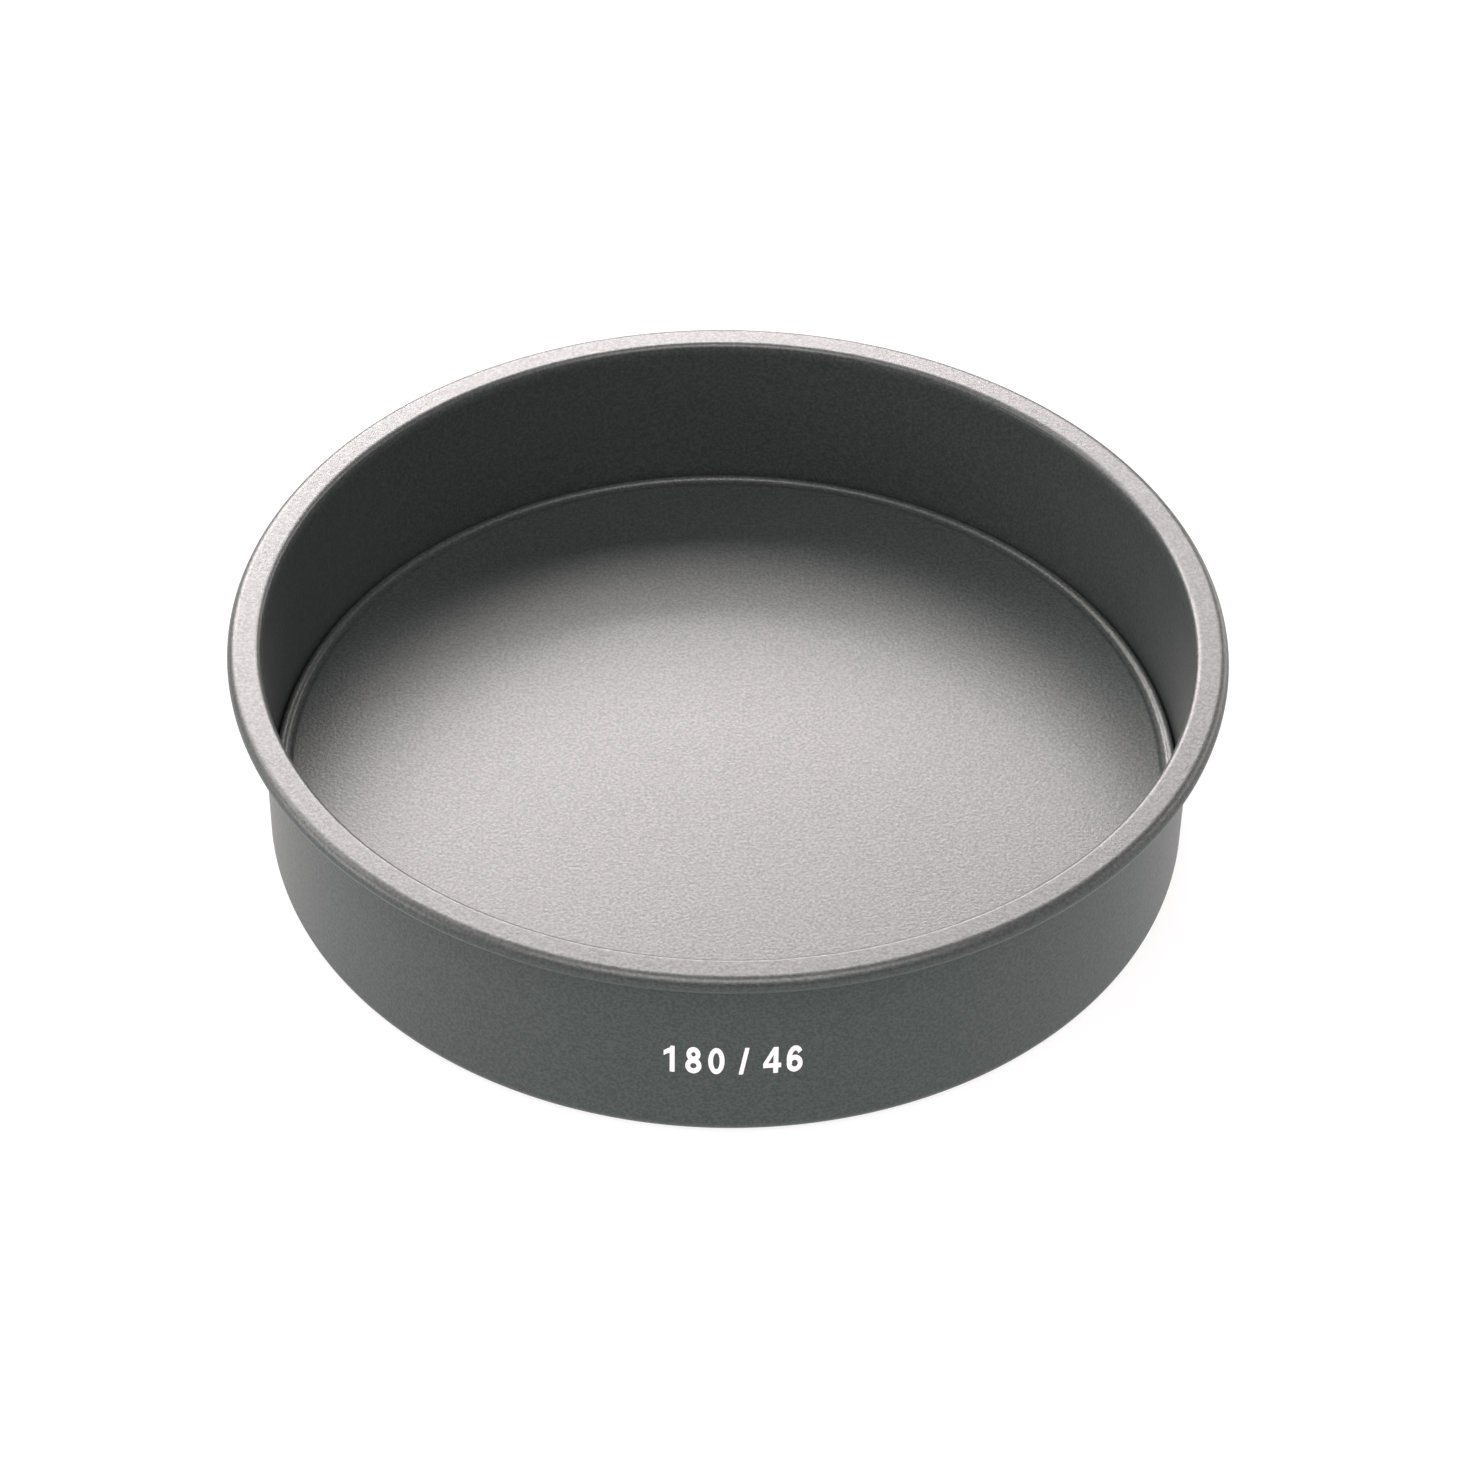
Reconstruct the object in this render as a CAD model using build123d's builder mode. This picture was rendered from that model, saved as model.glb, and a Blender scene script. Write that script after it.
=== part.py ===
from build123d import *
from math import acos, atan2, cos, degrees, radians, sin
import os

# Round cake tin with a loose base.
# The ring is one piece of sheet with a rolled rim and an inward ledge at its foot.
# The base is a shallow upturned dish with a low bead round its edge and a shallow groove inside the
# bead. It stands on the ledge, and its flat top is the tin's floor.
# The origin is the middle of the tin at the height of the surface it stands on, and +Z is up.
# All sizes are in millimetres.

# Ring
inner_diameter = 180.0       # inside width, the tin's nominal size
tin_height = 46.0            # from the foot to the top of the rim
wall_sheet = 0.8             # thickness of the ring's sheet
rim_width = 6.8              # from the wall's inside face to the rim's outer edge
flare_radius = 5.0           # top face of the gentle bend where the wall starts to lean out
flare_turn = 22.0            # how far the wall leans out at the end of that bend, in degrees
shoulder_radius = 1.2        # top face of the tight bend from there into the flat of the rim
roll_radius = 1.9            # outside face of the rolled edge
roll_gap = 0.3               # between the end of the roll and the wall's outside face
foot_radius = 3.0            # outside face of the bend from the wall into the ledge
ledge_width = 8.0            # from the wall's inside face to the edge of the ledge

# Base
base_height = 11.4           # from the ledge to the top of the base's bead
base_sheet = 0.7             # thickness of the base's sheet
base_clearance = 0.4         # between the base's edge and the wall
base_edge_radius = 0.9       # outside face of the bend from the bead into the skirt
skirt_clearance = 0.4        # between the foot of the base and the bend of the ledge
bead_run = 1.4               # width of the bead's inner slope
bead_depth = 0.5             # from the bottom of the groove to the top of the bead
groove_width = 0.3           # flat bottom of the groove
groove_run = 1.2             # width of the slope from the flat middle down into the groove
groove_depth = 0.2           # how far the bottom of the groove lies under the flat middle

# Places on the ring, as radii and heights
inner_radius = inner_diameter / 2
outer_radius = inner_radius + wall_sheet
rim_radius = inner_radius + rim_width
ledge_radius = inner_radius - ledge_width
foot_bend_start = outer_radius - foot_radius
flare_beyond = flare_radius - shoulder_radius
flare_start = tin_height - shoulder_radius - flare_beyond * sin(radians(flare_turn))
shoulder_end = inner_radius + flare_radius - flare_beyond * cos(radians(flare_turn))
shoulder_turn = 90 - flare_turn
flare_centre = Vector(inner_radius + flare_radius, flare_start)
shoulder_centre = Vector(shoulder_end, tin_height - shoulder_radius)
roll_start = rim_radius - roll_radius
roll_bottom = tin_height - 2 * roll_radius
roll_end = outer_radius + roll_gap

# Places on the base
base_radius = inner_radius - base_clearance
base_top = wall_sheet + base_height
groove_bottom = base_top - bead_depth
panel_top = groove_bottom + groove_depth
bead_end = base_radius - base_edge_radius
bead_start = bead_end - bead_run
groove_end = bead_start - groove_width
groove_start = groove_end - groove_run

# The base's edge is round until it meets the skirt, which leans in to miss the bend of the ledge
edge_centre = Vector(bead_end, base_top - base_edge_radius)
skirt_foot = Vector(foot_bend_start - skirt_clearance, wall_sheet)
reach = skirt_foot - edge_centre
edge_turn = 90 - degrees(atan2(reach.Y, reach.X) + acos(base_edge_radius / reach.length))

os.makedirs("parts", exist_ok=True)


# Ring: up the face that a cake touches, over the rim and round the roll, then back along the other face
with BuildPart() as tin_wall:
    with BuildSketch(Plane.XZ):
        with BuildLine():
            ledge_top = Line((ledge_radius, wall_sheet), (foot_bend_start, wall_sheet))
            foot_inside = TangentArc(ledge_top @ 1, (inner_radius, foot_radius), tangent=ledge_top % 1)
            Line(foot_inside @ 1, (inner_radius, flare_start))
            CenterArc(flare_centre, flare_radius, 180, -flare_turn)
            shoulder_top = CenterArc(
                shoulder_centre, shoulder_radius, 90 + shoulder_turn, -shoulder_turn
            )
            rim_top = Line(shoulder_top @ 1, (roll_start, tin_height))
            roll_outside = TangentArc(rim_top @ 1, (roll_start, roll_bottom), tangent=rim_top % 1)
            roll_lower = Line(roll_outside @ 1, (roll_end, roll_bottom))
            roll_edge = Line(roll_lower @ 1, (roll_end, roll_bottom + wall_sheet))
            roll_upper = Line(roll_edge @ 1, (roll_start, roll_bottom + wall_sheet))
            roll_inside = TangentArc(
                roll_upper @ 1, (roll_start, tin_height - wall_sheet), tangent=roll_upper % 1
            )
            Line(roll_inside @ 1, (shoulder_end, tin_height - wall_sheet))
            CenterArc(shoulder_centre, shoulder_radius - wall_sheet, 90, shoulder_turn)
            flare_under = CenterArc(
                flare_centre, flare_radius - wall_sheet, 90 + shoulder_turn, flare_turn
            )
            wall_outside = Line(flare_under @ 1, (outer_radius, foot_radius))
            foot_outside = TangentArc(wall_outside @ 1, (foot_bend_start, 0), tangent=wall_outside % 1)
            foot = Line(foot_outside @ 1, (ledge_radius, 0))
            Line(foot @ 1, ledge_top @ 0)
        make_face()
    revolve(axis=Axis.Z)
tin_wall.part.label = "tin_wall"
export_step(tin_wall.part, "parts/tin_wall.step")


# Base: the path is its top face, from the middle through the groove and over the bead to the skirt's foot
with BuildPart() as loose_base:
    with BuildSketch(Plane.XZ):
        with BuildLine():
            panel = Line((0, panel_top), (groove_start, panel_top))
            groove_high = TangentArc(
                panel @ 1, (groove_start + groove_run / 2, panel_top - groove_depth / 2), tangent=panel % 1
            )
            groove_low = TangentArc(
                groove_high @ 1, (groove_end, groove_bottom), tangent=groove_high % 1
            )
            groove = Line(groove_low @ 1, (bead_start, groove_bottom))
            bead_low = TangentArc(
                groove @ 1, (bead_start + bead_run / 2, groove_bottom + bead_depth / 2), tangent=groove % 1
            )
            TangentArc(bead_low @ 1, (bead_end, base_top), tangent=bead_low % 1)
            edge = CenterArc(edge_centre, base_edge_radius, 90, -edge_turn)
            Line(edge @ 1, skirt_foot)
            offset(amount=base_sheet, side=Side.RIGHT)
        make_face()
    revolve(axis=Axis.Z)
    split(bisect_by=Plane.XY.offset(wall_sheet), keep=Keep.TOP)
loose_base.part.label = "loose_base"
export_step(loose_base.part, "parts/loose_base.step")
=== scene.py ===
"""Round cake tin with a loose base: its finish, its printed numbers and the studio it stands in."""

import logging
import math
from collections.abc import Iterable
from dataclasses import dataclass, field
from enum import Enum

import bmesh
import bpy
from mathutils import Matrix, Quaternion, Vector
from mathutils.geometry import delaunay_2d_cdt

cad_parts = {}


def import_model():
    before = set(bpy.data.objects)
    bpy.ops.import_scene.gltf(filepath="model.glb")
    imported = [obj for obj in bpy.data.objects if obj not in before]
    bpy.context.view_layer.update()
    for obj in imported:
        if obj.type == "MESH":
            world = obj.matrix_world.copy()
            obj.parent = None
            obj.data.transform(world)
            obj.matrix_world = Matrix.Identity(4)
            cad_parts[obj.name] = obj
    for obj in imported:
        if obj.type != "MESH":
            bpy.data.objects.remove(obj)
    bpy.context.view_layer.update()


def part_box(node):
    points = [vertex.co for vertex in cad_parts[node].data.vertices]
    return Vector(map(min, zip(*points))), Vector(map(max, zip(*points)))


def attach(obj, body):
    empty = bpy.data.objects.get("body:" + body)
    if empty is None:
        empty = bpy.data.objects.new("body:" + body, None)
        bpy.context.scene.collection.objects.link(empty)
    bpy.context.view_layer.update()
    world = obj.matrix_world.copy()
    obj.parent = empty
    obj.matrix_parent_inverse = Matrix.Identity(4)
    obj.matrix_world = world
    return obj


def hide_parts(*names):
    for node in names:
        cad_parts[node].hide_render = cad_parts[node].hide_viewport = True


LOG = logging.getLogger("cake_tin")
MM = 0.001

# Points nearer than this become one point.
SAME_POINT = 0.001 * MM
# A vertex nearer than this to a point of an outline lies on that point's ring.
ON_RING = 0.01 * MM
# Most values of a noise lie between these two.
NOISE_SWING = (0.3, 0.7)
# Where Blender's mix node keeps its colour sockets: share, first and second colour, and result.
MIX_SHARE, MIX_FIRST, MIX_SECOND, MIX_RESULT = 0, 6, 7, 2

Colour = tuple[float, float, float, float]
Point = tuple[float, float]
Socket = bpy.types.NodeSocket


class Body(Enum):
    """The two bodies that the pieces ride on."""

    RING = "ring"
    BASE = "base"


class Slot(Enum):
    """The record's material slots."""

    RING = "ring_coating"
    BASE = "base_coating"
    PRINT = "size_print"


@dataclass(frozen=True)
class Turn:
    """One point of a turned outline.

    Attributes:
        radius: Distance from the tin's axis, in metres.
        height: Height above the surface the tin stands on, in metres.
        sharp: True where the sheet has a cut edge, so that light breaks there.
    """

    radius: float
    height: float
    sharp: bool = False

    def towards(self, other: "Turn", distance: float) -> "Turn":
        """Finds the point that lies a distance away on the straight line to another point."""
        share = distance / self.far_from(other)
        return Turn(
            self.radius + (other.radius - self.radius) * share,
            self.height + (other.height - self.height) * share,
        )

    def far_from(self, other: "Turn") -> float:
        """Measures the distance to another point."""
        return math.hypot(other.radius - self.radius, other.height - self.height)


class Outline:
    """The section of a turned piece, drawn with straight runs and arcs.

    Attributes:
        arc_step: Largest angle between two points of an arc, in radians.
        brace: Where a long straight run gets an extra point beside each end, so that the bends
            at its ends don't colour the light on the run.
        long_run: Shortest run that gets such points.
    """

    arc_step: float = math.radians(7.5)
    brace: float = 0.12 * MM
    long_run: float = 0.6 * MM

    def __init__(self) -> None:
        """Starts an empty outline."""
        self.points: list[Turn] = []

    def to(self, radius: float, height: float, sharp: bool = False) -> "Outline":
        """Runs straight to a point.

        Args:
            radius: The point's distance from the axis.
            height: The point's height.
            sharp: True where the sheet ends in a cut edge.

        Returns:
            This outline, so that calls can follow each other.
        """
        point = Turn(radius, height, sharp)
        if self.points and self.points[-1].far_from(point) > self.long_run:
            last = self.points[-1]
            self.points.append(last.towards(point, self.brace))
            self.points.append(point.towards(last, self.brace))
        self.points.append(point)
        return self

    def arc(self, centre: Point, radius: float, start: float, end: float) -> "Outline":
        """Runs round an arc.

        Args:
            centre: Radius and height of the arc's centre.
            radius: The arc's own radius.
            start: Angle of its first point, in degrees from outwards.
            end: Angle of its last point, in degrees.

        Returns:
            This outline, so that calls can follow each other.
        """
        first, last = math.radians(start), math.radians(end)
        count = max(2, math.ceil(abs(last - first) / self.arc_step))
        for i in range(count + 1):
            angle = first + (last - first) * i / count
            self.to(centre[0] + radius * math.cos(angle), centre[1] + radius * math.sin(angle))
        return self


@dataclass(frozen=True)
class Slope:
    """A slope that lifts or lowers a flat sheet in two equal arcs.

    Attributes:
        start: Radius and height where the top face starts to bend.
        run: Width of the slope.
        climb: How far it rises. It falls where this is negative.
    """

    start: Point
    run: float
    climb: float

    @property
    def side(self) -> int:
        """Gives 1 for a slope that rises and -1 for one that falls."""
        return 1 if self.climb > 0 else -1

    @property
    def tilt(self) -> float:
        """Steepest angle of the slope, in degrees."""
        return math.degrees(2 * math.atan2(abs(self.climb), self.run))

    @property
    def curve(self) -> float:
        """Radius of both arcs, on the top face."""
        return self.run / 2 / math.sin(math.radians(self.tilt))

    @property
    def first(self) -> Point:
        """Centre of the arc that the slope starts with."""
        return self.start[0], self.start[1] + self.side * self.curve

    @property
    def second(self) -> Point:
        """Centre of the arc that the slope ends with."""
        return self.start[0] + self.run, self.start[1] + self.climb - self.side * self.curve

    def top(self, drawn: Outline) -> None:
        """Draws the top face outwards."""
        drawn.arc(self.first, self.curve, -90 * self.side, (self.tilt - 90) * self.side)
        drawn.arc(self.second, self.curve, (90 + self.tilt) * self.side, 90 * self.side)

    def underside(self, drawn: Outline, sheet: float) -> None:
        """Draws the underside inwards, a sheet's thickness below."""
        deeper = self.side * sheet
        drawn.arc(self.second, self.curve - deeper, 90 * self.side, (90 + self.tilt) * self.side)
        drawn.arc(self.first, self.curve + deeper, (self.tilt - 90) * self.side, -90 * self.side)


@dataclass
class Lathe:
    """Turns an outline into a mesh.

    Attributes:
        steps: Number of steps round the axis.
    """

    steps: int = 360

    def turn(self, name: str, outline: Outline, closed: bool) -> bpy.types.Object:
        """Turns the outline round the axis.

        Args:
            name: Name of the new piece.
            outline: Its section. An open one starts and ends on the axis.
            closed: True where the last point runs back to the first.

        Returns:
            The new object, with smooth faces and its cut edges kept sharp.
        """
        shape = bmesh.new()
        rings = [self._ring(shape, point) for point in outline.points]
        for here, there in zip(rings, rings[1:]):
            self._band(shape, here, there)
        if closed:
            self._band(shape, rings[-1], rings[0])
        bmesh.ops.remove_doubles(shape, verts=shape.verts, dist=SAME_POINT)
        bmesh.ops.recalc_face_normals(shape, faces=shape.faces)
        for face in shape.faces:
            face.smooth = True
        for point in outline.points:
            if point.sharp:
                self._sharpen(shape, point)
        return make_object(name, shape)

    def _ring(self, shape: bmesh.types.BMesh, point: Turn) -> list[bmesh.types.BMVert]:
        """Makes the vertices of one ring, or the single one of a point on the axis."""
        if point.radius <= 0:
            return [shape.verts.new((0, 0, point.height))]
        turn = 2 * math.pi / self.steps
        return [
            shape.verts.new(
                (point.radius * math.cos(i * turn), point.radius * math.sin(i * turn), point.height)
            )
            for i in range(self.steps)
        ]

    def _band(
        self,
        shape: bmesh.types.BMesh,
        here: list[bmesh.types.BMVert],
        there: list[bmesh.types.BMVert],
    ) -> None:
        """Joins two rings by a band of faces.

        Args:
            shape: The mesh that is being made.
            here: Vertices of the first ring.
            there: Vertices of the second ring.
        """
        for i in range(self.steps):
            left = [ring[i % len(ring)] for ring in (here, there)]
            right = [ring[(i + 1) % len(ring)] for ring in (here, there)]
            corners = [left[0], *right, left[1]]
            # On the axis two of the corners are the same vertex, which leaves a triangle.
            shape.faces.new(list(dict.fromkeys(corners)))

    def _sharpen(self, shape: bmesh.types.BMesh, point: Turn) -> None:
        """Marks the ring of edges at a cut edge as sharp."""
        for edge in shape.edges:
            if all(self._is_at(vertex, point) for vertex in edge.verts):
                edge.smooth = False

    def _is_at(self, vertex: bmesh.types.BMVert, point: Turn) -> bool:
        """Tells whether a vertex lies on the ring of a point."""
        place = Turn(math.hypot(vertex.co.x, vertex.co.y), vertex.co.z)
        return place.far_from(point) < ON_RING


def make_object(name: str, shape: bmesh.types.BMesh) -> bpy.types.Object:
    """Makes an object of a finished shape.

    Args:
        name: The new object's name.
        shape: Its shape, which is freed.

    Returns:
        The new object, in the scene.
    """
    mesh = bpy.data.meshes.new(name)
    shape.to_mesh(mesh)
    shape.free()
    piece = bpy.data.objects.new(name, mesh)
    bpy.context.scene.collection.objects.link(piece)
    return piece


class Nodes:
    """A short way to write a material's node tree."""

    def __init__(self, name: str) -> None:
        """Makes a material with one Principled shader.

        Args:
            name: The material's name.
        """
        self.material = bpy.data.materials.new(name)
        self.material.use_nodes = True
        self.tree = self.material.node_tree
        self.shader = self.tree.nodes["Principled BSDF"]
        self.place = self.add("ShaderNodeTexCoord").outputs["Object"]

    def add(self, kind: str, **values: object) -> bpy.types.Node:
        """Adds a node.

        Args:
            kind: Blender's name of the node type.
            **values: Properties of the node.

        Returns:
            The new node.
        """
        node = self.tree.nodes.new(kind)
        for key, value in values.items():
            setattr(node, key, value)
        return node

    def link(self, output: Socket, target: Socket) -> None:
        """Links an output to an input."""
        self.tree.links.new(output, target)

    def set(self, **values: object) -> None:
        """Sets sockets of the shader, named as in Blender with underscores for spaces."""
        for key, value in values.items():
            self.shader.inputs[key.replace("_", " ")].default_value = value

    def noise(self, grain: float, detail: float = 2.0, roughness: float = 0.5) -> Socket:
        """Adds a noise of a given grain.

        Args:
            grain: Width of one grain, in metres.
            detail: How many finer layers it has.
            roughness: How strong the finer layers are.

        Returns:
            The noise's value, from 0 to 1.
        """
        node = self.add("ShaderNodeTexNoise")
        node.inputs["Scale"].default_value = 1 / grain
        node.inputs["Detail"].default_value = detail
        node.inputs["Roughness"].default_value = roughness
        self.link(self.place, node.inputs["Vector"])
        return node.outputs["Fac"]

    def spread(self, value: Socket, source: Point, result: Point = (0.0, 1.0)) -> Socket:
        """Spreads a value over another range.

        Args:
            value: The value to spread.
            source: Its low and high end.
            result: What these ends become.

        Returns:
            The new value, held inside its range.
        """
        node = self.add("ShaderNodeMapRange")
        for socket, number in zip(("From Min", "From Max", "To Min", "To Max"), (*source, *result)):
            node.inputs[socket].default_value = number
        self.link(value, node.inputs["Value"])
        return node.outputs["Result"]

    def blend(self, share: Socket, first: Colour, second: Colour) -> Socket:
        """Blends two colours.

        Args:
            share: How much of the second colour shows.
            first: The first colour.
            second: The second colour.

        Returns:
            The blended colour.
        """
        node = self.add("ShaderNodeMix", data_type="RGBA")
        node.inputs[MIX_FIRST].default_value = first
        node.inputs[MIX_SECOND].default_value = second
        self.link(share, node.inputs[MIX_SHARE])
        return node.outputs[MIX_RESULT]

    def bump(self, height: Socket, depth: float) -> Socket:
        """Raises and sinks the surface in its shading.

        Args:
            height: The value that is raised.
            depth: Height difference between 0 and 1, in metres.

        Returns:
            The bumped normal.
        """
        node = self.add("ShaderNodeBump")
        node.inputs["Distance"].default_value = depth
        self.link(height, node.inputs["Height"])
        return node.outputs["Normal"]


@dataclass(frozen=True)
class NonStickCoating:
    """Dark grey non-stick coating over steel: satin, with a fine pebbled grain and metal flecks.

    Attributes:
        shade: Colour between the flecks.
        fleck: Colour of the flecks.
        fleck_width: Width of one fleck.
        fleck_edge: Values of the flecks' noise where a fleck starts to show and shows in full.
        metal: How much of the coating is metal flake.
        gloss: Strength of the reflection of the rest.
        grain: Width of one grain of the coating.
        grain_depth: How deep the grain is.
        satin: Lowest and highest roughness.
    """

    shade: Colour = (0.037, 0.050, 0.047, 1.0)
    fleck: Colour = (0.060, 0.075, 0.072, 1.0)
    fleck_width: float = 0.6 * MM
    fleck_edge: Point = (0.35, 0.65)
    metal: float = 0.5
    gloss: float = 0.6
    grain: float = 0.7 * MM
    grain_depth: float = 0.07 * MM
    satin: Point = (0.40, 0.46)

    def material(self, name: str) -> bpy.types.Material:
        """Makes the coating's material.

        Args:
            name: The material's name.

        Returns:
            The new material.
        """
        nodes = Nodes(name)
        flecks = nodes.spread(nodes.noise(self.fleck_width, detail=1.0), self.fleck_edge)
        grain = nodes.noise(self.grain, roughness=0.6)
        nodes.link(nodes.blend(flecks, self.shade, self.fleck), nodes.shader.inputs["Base Color"])
        nodes.link(nodes.spread(grain, NOISE_SWING, self.satin), nodes.shader.inputs["Roughness"])
        nodes.link(nodes.bump(grain, self.grain_depth), nodes.shader.inputs["Normal"])
        nodes.set(Metallic=self.metal, Specular_IOR_Level=self.gloss)
        return nodes.material


@dataclass(frozen=True)
class WhiteInk:
    """Thin white print, a little uneven where it lies over the coating's grain.

    Attributes:
        thin: Colour where the ink is thin.
        pale: Colour of the full ink.
        cover: Values of the ink's noise where it is thin and where it is full.
        grain: Width of one uneven spot of the ink.
        grain_depth: How deep the spots are.
        satin: Lowest and highest roughness.
    """

    thin: Colour = (0.82, 0.83, 0.82, 1.0)
    pale: Colour = (0.95, 0.95, 0.94, 1.0)
    cover: Point = (0.30, 0.55)
    grain: float = 0.40 * MM
    grain_depth: float = 0.006 * MM
    satin: Point = (0.45, 0.60)

    def material(self, name: str) -> bpy.types.Material:
        """Makes the ink's material.

        Args:
            name: The material's name.

        Returns:
            The new material.
        """
        nodes = Nodes(name)
        grain = nodes.noise(self.grain)
        full = nodes.spread(grain, self.cover)
        nodes.link(nodes.blend(full, self.thin, self.pale), nodes.shader.inputs["Base Color"])
        nodes.link(nodes.spread(grain, NOISE_SWING, self.satin), nodes.shader.inputs["Roughness"])
        nodes.link(nodes.bump(grain, self.grain_depth), nodes.shader.inputs["Normal"])
        return nodes.material


@dataclass(frozen=True)
class PaleGround:
    """Matte studio table that shows white, mostly by a glow of its own.

    Attributes:
        tone: Its colour.
        light: Colour of its glow.
        glow: Strength of its glow.
    """

    tone: Colour = (0.15, 0.15, 0.15, 1.0)
    light: Colour = (1.0, 1.0, 1.0, 1.0)
    glow: float = 0.84

    def material(self, name: str) -> bpy.types.Material:
        """Makes the table's material.

        Args:
            name: The material's name.

        Returns:
            The new material.
        """
        nodes = Nodes(name)
        nodes.set(
            Base_Color=self.tone,
            Roughness=1.0,
            Specular_IOR_Level=0.0,
            Emission_Color=self.light,
            Emission_Strength=self.glow,
        )
        return nodes.material


def put_on(piece: bpy.types.Object, material: bpy.types.Material, body: Body) -> None:
    """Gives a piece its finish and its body.

    Args:
        piece: The piece.
        material: Its only material.
        body: The body it moves with.
    """
    piece.data.materials.clear()
    piece.data.materials.append(material)
    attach(piece, body.value)


@dataclass
class TinRing:
    """The ring: wall, rolled rim and inward ledge, bent from one sheet.

    Attributes:
        node: The frame's node that it stands for.
        sheet: Thickness of the sheet.
        rim_width: From the wall's inside face to the rim's outer edge.
        flare: Top radius of the gentle bend where the wall starts to lean out.
        flare_turn: How far the wall leans out at the end of that bend, in degrees.
        shoulder: Top radius of the tight bend from there into the flat of the rim.
        roll: Outside radius of the rolled edge.
        roll_gap: From the end of the roll to the wall.
        foot: Outside radius of the bend into the ledge.
        ledge: From the wall's inside face to the ledge's edge.
        finish: The ring's coating, which has a shallower grain than the base's.
    """

    node: str = "tin_wall"
    sheet: float = 0.8 * MM
    rim_width: float = 6.8 * MM
    flare: float = 5.0 * MM
    flare_turn: float = 22.0
    shoulder: float = 1.2 * MM
    roll: float = 1.9 * MM
    roll_gap: float = 0.3 * MM
    foot: float = 3.0 * MM
    ledge: float = 8.0 * MM
    finish: NonStickCoating = NonStickCoating(grain_depth=0.04 * MM)

    def __post_init__(self) -> None:
        """Takes the ring's width and height from the frame."""
        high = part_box(self.node)[1]
        self.rim_radius = high.x
        self.height = high.z
        self.inner = self.rim_radius - self.rim_width
        self.outer = self.inner + self.sheet

    def outline(self) -> Outline:
        """Draws the ring's section, up its inside face and back down its outside.

        Returns:
            The closed outline.
        """
        top, lip = self.height, self.inner - self.ledge
        bend = (self.outer - self.foot, self.foot)
        beyond, lean = self.flare - self.shoulder, math.radians(self.flare_turn)
        flare = (self.inner + self.flare, top - self.shoulder - beyond * math.sin(lean))
        shoulder = (flare[0] - beyond * math.cos(lean), top - self.shoulder)
        turned = 180 - self.flare_turn
        curl = (self.rim_radius - self.roll, top - self.roll)
        curl_end, under = self.outer + self.roll_gap, top - 2 * self.roll
        drawn = Outline()
        drawn.to(lip, self.sheet, sharp=True)
        drawn.arc(bend, self.foot - self.sheet, -90, 0)
        drawn.arc(flare, self.flare, 180, turned)
        drawn.arc(shoulder, self.shoulder, turned, 90)
        drawn.arc(curl, self.roll, 90, -90)
        drawn.to(curl_end, under, sharp=True)
        drawn.to(curl_end, under + self.sheet, sharp=True)
        drawn.arc(curl, self.roll - self.sheet, -90, 90)
        drawn.arc(shoulder, self.shoulder - self.sheet, 90, turned)
        drawn.arc(flare, self.flare - self.sheet, turned, 180)
        drawn.arc(bend, self.foot, 0, -90)
        drawn.to(lip, 0, sharp=True)
        return drawn

    def build(self) -> list[bpy.types.Object]:
        """Turns the ring and puts its coating on.

        Returns:
            The finished piece, in a list.
        """
        piece = Lathe().turn("ring_shell", self.outline(), closed=True)
        put_on(piece, self.finish.material("ring_coating"), Body.RING)
        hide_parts(self.node)
        return [piece]


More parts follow.
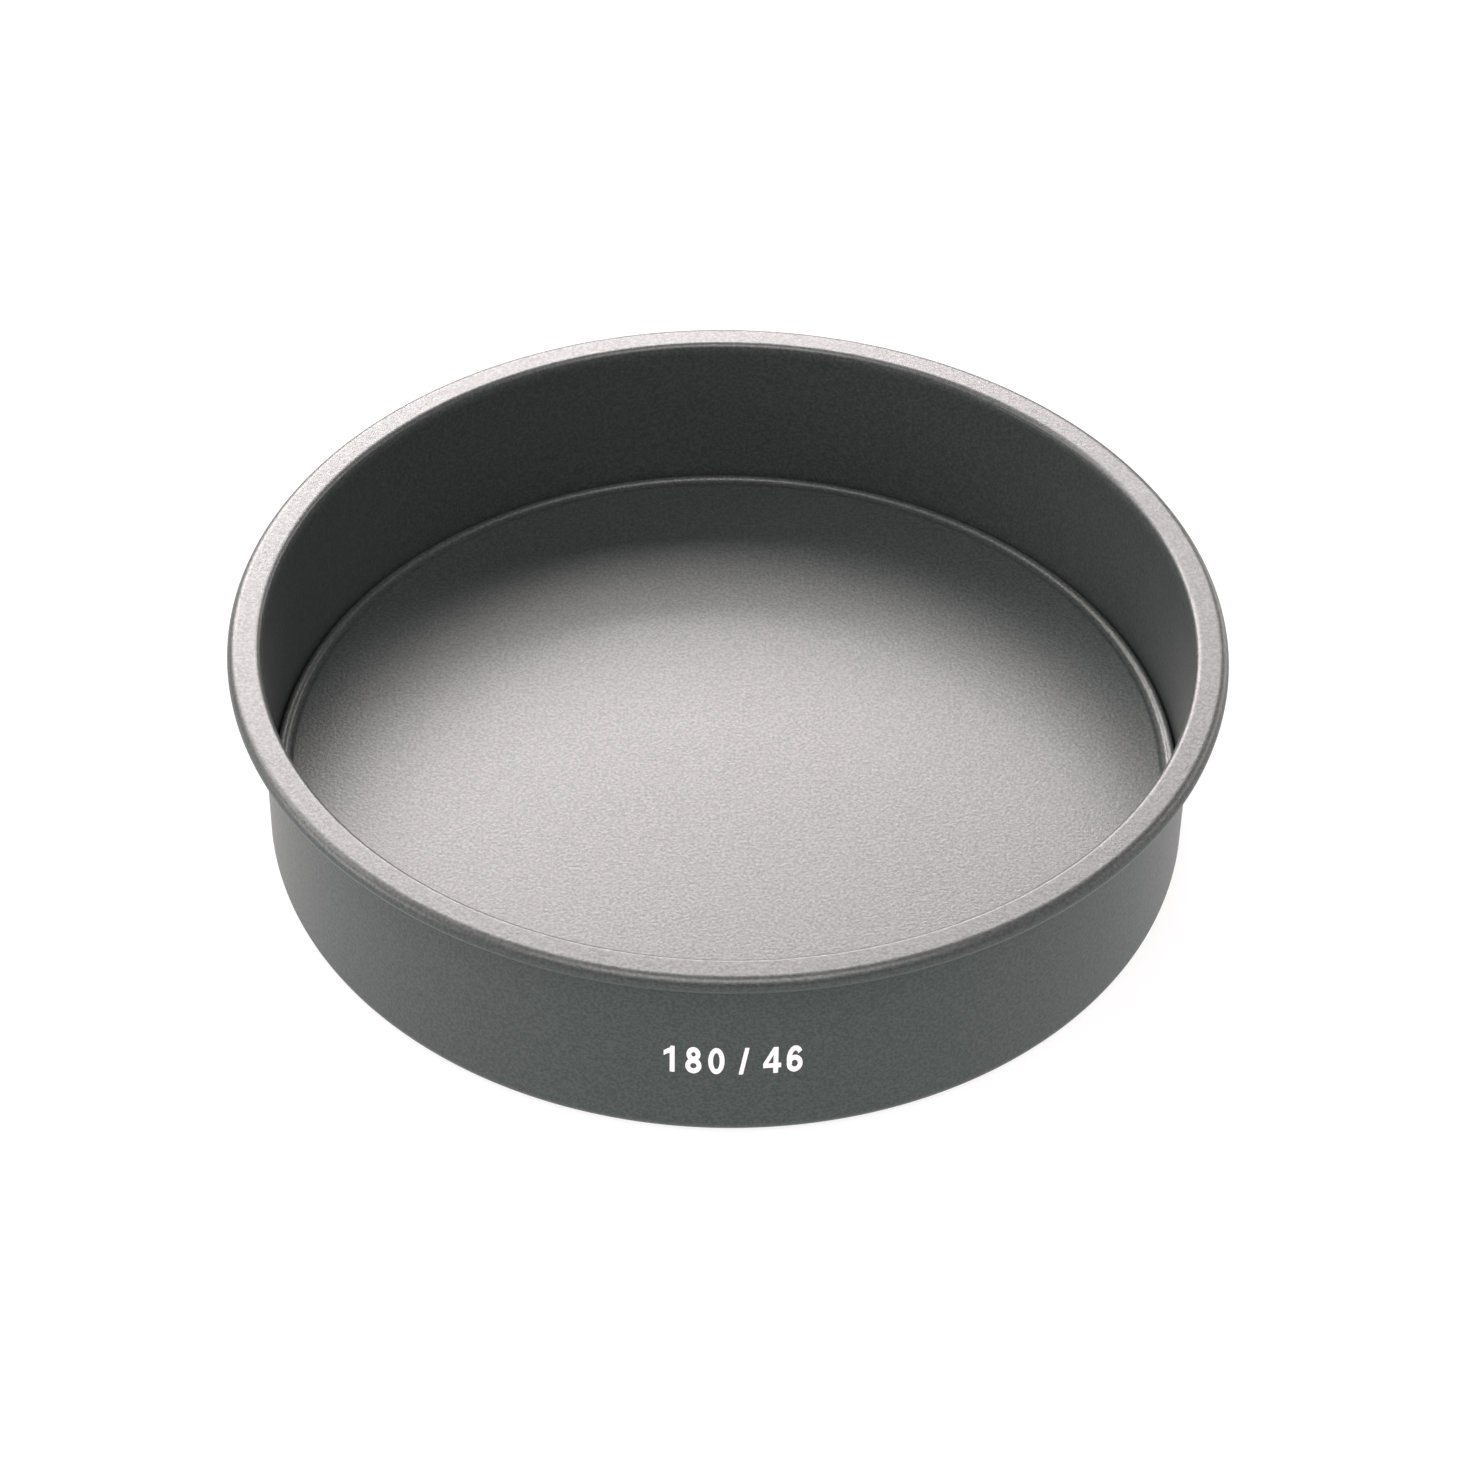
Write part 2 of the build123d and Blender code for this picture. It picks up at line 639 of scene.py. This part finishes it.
@dataclass
class LooseBase:
    """The loose base: a flat floor, a shallow groove, a low bead and a turned-down skirt.

    Attributes:
        node: The frame's node that it stands for.
        sheet: Thickness of the sheet.
        edge: Outside radius of the bend from the bead into the skirt.
        bead_run: Width of the bead's inner slope.
        bead_depth: From the bottom of the groove to the top of the bead.
        groove: Flat bottom of the groove.
        groove_run: Width of the slope from the floor down into the groove.
        groove_depth: How far the groove's bottom lies under the floor.
        foot_gap: How far the skirt's foot stands inside the outer edge.
        finish: The base's coating.
    """

    node: str = "loose_base"
    sheet: float = 0.7 * MM
    edge: float = 0.9 * MM
    bead_run: float = 1.4 * MM
    bead_depth: float = 0.5 * MM
    groove: float = 0.3 * MM
    groove_run: float = 1.2 * MM
    groove_depth: float = 0.2 * MM
    foot_gap: float = 2.2 * MM
    finish: NonStickCoating = NonStickCoating()

    def __post_init__(self) -> None:
        """Takes the base's width and heights from the frame."""
        low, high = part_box(self.node)
        self.radius = high.x
        self.top = high.z
        self.seat = low.z

    def outline(self) -> Outline:
        """Draws the base's section, out over its top face and back under it.

        Returns:
            The open outline, from axis to axis.
        """
        bead_start = self.radius - self.edge - self.bead_run
        floor_edge = bead_start - self.groove - self.groove_run
        bottom = self.top - self.bead_depth
        floor = bottom + self.groove_depth
        dip = Slope((floor_edge, floor), self.groove_run, -self.groove_depth)
        bead = Slope((bead_start, bottom), self.bead_run, self.bead_depth)
        edge = (self.radius - self.edge, self.top - self.edge)
        foot = (self.radius - self.foot_gap, self.seat)
        reach = math.hypot(foot[0] - edge[0], foot[1] - edge[1])
        lean = math.degrees(
            math.atan2(foot[1] - edge[1], foot[0] - edge[0]) + math.acos(self.edge / reach)
        )
        drawn = Outline()
        drawn.to(0, floor)
        dip.top(drawn)
        bead.top(drawn)
        drawn.arc(edge, self.edge, 90, lean)
        drawn.to(foot[0], foot[1], sharp=True)
        drawn.to(foot[0] - self.sheet / math.cos(math.radians(lean)), foot[1], sharp=True)
        drawn.arc(edge, self.edge - self.sheet, lean, 90)
        bead.underside(drawn, self.sheet)
        dip.underside(drawn, self.sheet)
        drawn.to(0, floor - self.sheet)
        return drawn

    def build(self) -> list[bpy.types.Object]:
        """Turns the base and puts its coating on.

        Returns:
            The finished piece, in a list.
        """
        piece = Lathe().turn("base_dish", self.outline(), closed=False)
        put_on(piece, self.finish.material("base_coating"), Body.BASE)
        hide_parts(self.node)
        return [piece]


@dataclass(frozen=True)
class Figures:
    """Bold upright figures, drawn in a box one unit high.

    Attributes:
        stroke: Thickness of a stroke.
        figure: Width of one figure.
        slash: Width of a slash.
        advance: From the start of one figure to the start of the next.
        gap: Space on each side of the slash.
        ring_steps: Number of steps round a closed ring.
    """

    stroke: float = 0.19
    figure: float = 0.66
    slash: float = 0.41
    advance: float = 0.90
    gap: float = 0.55
    ring_steps: int = 40

    def write(self, words: str) -> list[list[Vector]]:
        """Writes a line of figures.

        Args:
            words: Figures and slashes. A space is left out, because a slash has its own gaps.

        Returns:
            Overlapping polygons whose union is the print, in figure heights.
        """
        shapes, at = [], 0.0
        for letter in words.replace(" ", ""):
            is_slash = letter == "/"
            at += self.gap - (self.advance - self.figure) if is_slash else 0
            shapes += [[Vector((at + x, y)) for x, y in polygon] for polygon in self._draw(letter)]
            at += self.slash + self.gap if is_slash else self.advance
        return shapes

    def _draw(self, letter: str) -> list[list[Point]]:
        """Draws one figure.

        Args:
            letter: The figure or slash.

        Returns:
            Its polygons, from the left edge and the line it stands on.

        Raises:
            ValueError: If there is no drawing of it.
        """
        match letter:
            case "1":
                left, right = 0.30, 0.30 + self.stroke
                stem = [(left, 0.0), (right, 0.0), (right, 1.0), (0.34, 1.0), (left, 0.93)]
                flag = [(left, 0.93), (0.06, 0.80), (0.06, 0.62), (0.32, 0.75)]
                return [stem, flag]
            case "4":
                left, right = 0.40, 0.40 + self.stroke
                stem = [(left, 0.0), (right, 0.0), (right, 1.0), (left, 1.0)]
                bar = [(0.0, 0.21), (0.71, 0.21), (0.71, 0.38), (0.0, 0.38)]
                slope = [(0.0, 0.38), (0.19, 0.38), (0.42, 0.74), (0.42, 1.0), (left, 1.0)]
                return [stem, bar, slope]
            case "6":
                bowl = self._ring((0.34, 0.32), (0.22, 0.23), 0, 360)
                return bowl + self._ring((0.36, 0.50), (0.24, 0.41), 38, 218)
            case "8":
                top = self._ring((0.33, 0.73), (0.18, 0.18), 0, 360)
                return top + self._ring((0.33, 0.29), (0.22, 0.20), 0, 360)
            case "0":
                return self._ring((0.33, 0.50), (0.225, 0.41), 0, 360)
            case "/":
                return [[(0.0, -0.01), (0.17, -0.01), (self.slash, 1.01), (0.24, 1.01)]]
            case _:
                raise ValueError(f"no drawing of {letter!r}")

    def _ring(self, centre: Point, radii: Point, start: float, end: float) -> list[list[Point]]:
        """Draws a stroke along an ellipse.

        Args:
            centre: The ellipse's centre.
            radii: Its half width and half height, to the middle of the stroke.
            start: Angle where the stroke starts, in degrees from the right.
            end: Angle where it ends.

        Returns:
            The stroke's polygons, one for each step.
        """
        count = round(self.ring_steps * (end - start) / 360)
        angles = [math.radians(start + (end - start) * i / count) for i in range(count + 1)]
        half = self.stroke / 2
        outer = [self._on(centre, (radii[0] + half, radii[1] + half), angle) for angle in angles]
        inner = [self._on(centre, (radii[0] - half, radii[1] - half), angle) for angle in angles]
        return [[outer[i], outer[i + 1], inner[i + 1], inner[i]] for i in range(count)]

    def _on(self, centre: Point, radii: Point, angle: float) -> Point:
        """Finds a point of an ellipse."""
        return centre[0] + radii[0] * math.cos(angle), centre[1] + radii[1] * math.sin(angle)


@dataclass
class SizeNumbers:
    """Plain numbers in white ink on the front of the wall: inside width and height in millimetres.

    Attributes:
        wall_radius: Outside radius of the wall.
        words: The numbers.
        figure_width: Width on the wall of one figure height, which sets how wide the figures are.
        figure_height: Height of one figure on the wall.
        foot_height: Height of the line that the figures stand on.
        turned: How far the print's middle stands round the wall from the front, in radians.
        ink: Thickness of the ink.
        slice_width: Widest face of the print, so that it follows the wall.
        figures: How the figures are drawn.
        finish: The ink.
    """

    wall_radius: float
    words: str = "180 / 46"
    figure_width: float = 4.65 * MM
    figure_height: float = 6.8 * MM
    foot_height: float = 16.3 * MM
    turned: float = math.radians(1.3)
    ink: float = 0.03 * MM
    slice_width: float = 0.5 * MM
    figures: Figures = Figures()
    finish: WhiteInk = WhiteInk()

    def build(self) -> list[bpy.types.Object]:
        """Draws the numbers, wraps them round the wall and inks them.

        Returns:
            The finished print, in a list.
        """
        shape = self._flat_print()
        self._thicken(shape)
        for vertex in shape.verts:
            angle = vertex.co.x / self.wall_radius + self.turned - math.pi / 2
            reach = self.wall_radius + vertex.co.z
            vertex.co = Vector((reach * math.cos(angle), reach * math.sin(angle), vertex.co.y))
        bmesh.ops.recalc_face_normals(shape, faces=shape.faces)
        piece = make_object("size_numbers", shape)
        put_on(piece, self.finish.material("white_ink"), Body.RING)
        return [piece]

    def _flat_print(self) -> bmesh.types.BMesh:
        """Makes the print flat, cut upright into slices that can follow the wall.

        Returns:
            A mesh whose X runs along the print and whose Y is the height above the ground.
        """
        polygons = self.figures.write(self.words)
        corners = [corner for polygon in polygons for corner in polygon]
        middle = (max(c.x for c in corners) + min(c.x for c in corners)) / 2
        for corner in corners:
            corner.x = (corner.x - middle) * self.figure_width
            corner.y = corner.y * self.figure_height + self.foot_height
        ends = iter(range(len(corners)))
        faces = [[next(ends) for _ in polygon] for polygon in polygons]
        cuts = list(self._cuts(max(c.x for c in corners)))
        edges = [(len(corners) + i, len(corners) + i + 1) for i in range(0, len(cuts), 2)]
        points, _, slices, _, _, inked_by = delaunay_2d_cdt(
            corners + cuts, edges, faces, 0, SAME_POINT
        )
        inked = [face for face, sources in zip(slices, inked_by) if sources]
        used = sorted({i for face in inked for i in face})
        shape = bmesh.new()
        made = {i: shape.verts.new((points[i].x, points[i].y, self.ink)) for i in used}
        for face in inked:
            shape.faces.new([made[i] for i in face])
        return shape

    def _cuts(self, reach: float) -> Iterable[Vector]:
        """Gives the two ends of each upright cut, from the left to the right end of the print."""
        count = math.ceil(2 * reach / self.slice_width)
        for i in range(1, count):
            x = reach * (2 * i / count - 1)
            yield Vector((x, self.foot_height - self.figure_height))
            yield Vector((x, self.foot_height + 2 * self.figure_height))

    def _thicken(self, shape: bmesh.types.BMesh) -> None:
        """Gives the flat ink its thickness, down to the wall's face.

        Args:
            shape: The flat print, which gets an underside and sides.
        """
        inked = list(shape.faces)
        borders = [edge for edge in shape.edges if edge.is_boundary]
        below = {top: shape.verts.new((top.co.x, top.co.y, 0)) for top in list(shape.verts)}
        for face in inked:
            shape.faces.new([below[top] for top in reversed(face.verts)])
        for edge in borders:
            first, second = edge.verts
            shape.faces.new((first, second, below[second], below[first]))


@dataclass(frozen=True)
class Softbox:
    """A soft lamp that faces the tin.

    Attributes:
        name: The lamp's name.
        azimuth: Its place round the tin, in degrees from the back towards the right.
        elevation: Its height above the horizon, in degrees.
        size: Its width and height.
        radiance: How bright its face is, against a white ground of 1.
        distance: Its distance from the tin.
        tint: Colour of its light.
    """

    name: str
    azimuth: float
    elevation: float
    size: Point
    radiance: float
    distance: float = 1.3
    tint: tuple[float, float, float] = (1.0, 0.84, 0.855)

    def build(self) -> None:
        """Hangs the lamp."""
        around, up = math.radians(self.azimuth), math.radians(self.elevation)
        towards = Vector(
            (math.sin(around) * math.cos(up), math.cos(around) * math.cos(up), math.sin(up))
        )
        data = bpy.data.lights.new(self.name, "AREA")
        data.shape = "RECTANGLE"
        data.size, data.size_y = self.size
        data.energy = self.radiance * math.pi * self.size[0] * self.size[1]
        data.color = self.tint
        lamp = bpy.data.objects.new(self.name, data)
        lamp.location = towards * self.distance
        lamp.rotation_mode = "QUATERNION"
        lamp.rotation_quaternion = (-towards).to_track_quat("-Z", "Y")
        bpy.context.scene.collection.objects.link(lamp)


@dataclass
class Studio:
    """A white table in a dark room, with soft lamps all round.

    Attributes:
        ground_size: Side of the square table.
        lamps: The soft lamps.
        finish: The table's finish.
    """

    ground_size: float = 12.0
    lamps: tuple[Softbox, ...] = (
        Softbox("back_softbox", azimuth=-8, elevation=30, size=(0.85, 0.30), radiance=26.0),
        Softbox("back_halo_softbox", azimuth=-7, elevation=44, size=(1.3, 0.50), radiance=10.4),
        Softbox("back_left_softbox", azimuth=-32, elevation=30, size=(0.5, 0.4), radiance=17.5),
        Softbox("high_left_softbox", azimuth=-70, elevation=40, size=(0.6, 0.4), radiance=11.6),
        Softbox("left_softbox", azimuth=-100, elevation=15, size=(0.8, 0.4), radiance=10.6),
        Softbox("right_softbox", azimuth=46, elevation=9, size=(0.55, 0.38), radiance=6.2),
        Softbox("far_right_softbox", azimuth=72, elevation=24, size=(0.55, 0.36), radiance=6.8),
        Softbox("low_right_softbox", azimuth=100, elevation=15, size=(0.8, 0.4), radiance=2.2),
        Softbox("front_left_softbox", azimuth=-140, elevation=25, size=(1.2, 0.7), radiance=0.5),
        Softbox("front_right_softbox", azimuth=140, elevation=25, size=(1.2, 0.7), radiance=0.6),
        Softbox("front_high_softbox", azimuth=180, elevation=60, size=(1.2, 0.7), radiance=8.6),
    )
    finish: PaleGround = PaleGround()

    def build(self) -> None:
        """Makes the ground, the dark room and the lamps."""
        self._ground()
        self._dark_room()
        for lamp in self.lamps:
            lamp.build()

    def _ground(self) -> None:
        """Lays the table under the tin."""
        shape = bmesh.new()
        bmesh.ops.create_grid(shape, x_segments=1, y_segments=1, size=self.ground_size / 2)
        ground = make_object("ground", shape)
        ground.data.materials.append(self.finish.material("pale_ground"))

    def _dark_room(self) -> None:
        """Keeps all light out but the lamps' and the table's."""
        world = bpy.data.worlds.new("dark_room")
        world.use_nodes = True
        world.node_tree.nodes["Background"].inputs["Strength"].default_value = 0.0
        bpy.context.scene.world = world


@dataclass
class PhotoCamera:
    """The camera, where the photograph was taken from.

    Attributes:
        pivot: Point of the tin that its place is measured from.
        aim: Point of the tin in the middle of the picture.
        elevation: Its height above the horizon, in degrees.
        distance: Its distance from the pivot.
        roll: How far it is turned about its own axis, in degrees.
        lens: Its focal length in millimetres.
        sensor: Width of its sensor in millimetres.
        near: Nearest distance that it sees.
        far: Furthest distance that it sees.
    """

    pivot: Vector = field(default_factory=lambda: Vector((0, 0, 20.0 * MM)))
    aim: Vector = field(default_factory=lambda: Vector((0.60 * MM, 0, 19.0 * MM)))
    elevation: float = 42.0
    distance: float = 0.850
    roll: float = 0.9
    lens: float = 106.05
    sensor: float = 36.0
    near: float = 0.05
    far: float = 20.0

    def build(self) -> None:
        """Makes the camera and looks through it."""
        up = math.radians(self.elevation)
        data = bpy.data.cameras.new("photo_camera")
        data.sensor_width, data.lens = self.sensor, self.lens
        data.clip_start, data.clip_end = self.near, self.far
        camera = bpy.data.objects.new("photo_camera", data)
        camera.location = self.pivot + Vector((0, -math.cos(up), math.sin(up))) * self.distance
        camera.rotation_mode = "QUATERNION"
        straight = (self.aim - camera.location).to_track_quat("-Z", "Y")
        camera.rotation_quaternion = straight @ Quaternion((0, 0, 1), math.radians(self.roll))
        bpy.context.scene.collection.objects.link(camera)
        bpy.context.scene.camera = camera


def main() -> None:
    """Builds the tin around the frame, then the studio and the camera."""
    logging.basicConfig(level=logging.INFO, format="%(name)s: %(message)s")
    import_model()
    bpy.context.scene.view_settings.view_transform = "Standard"
    ring = TinRing()
    for maker in (ring, LooseBase(), SizeNumbers(wall_radius=ring.outer)):
        for piece in maker.build():
            LOG.info("%s: %d faces", piece.name, len(piece.data.polygons))
    Studio().build()
    PhotoCamera().build()


if __name__ == "__main__":
    main()
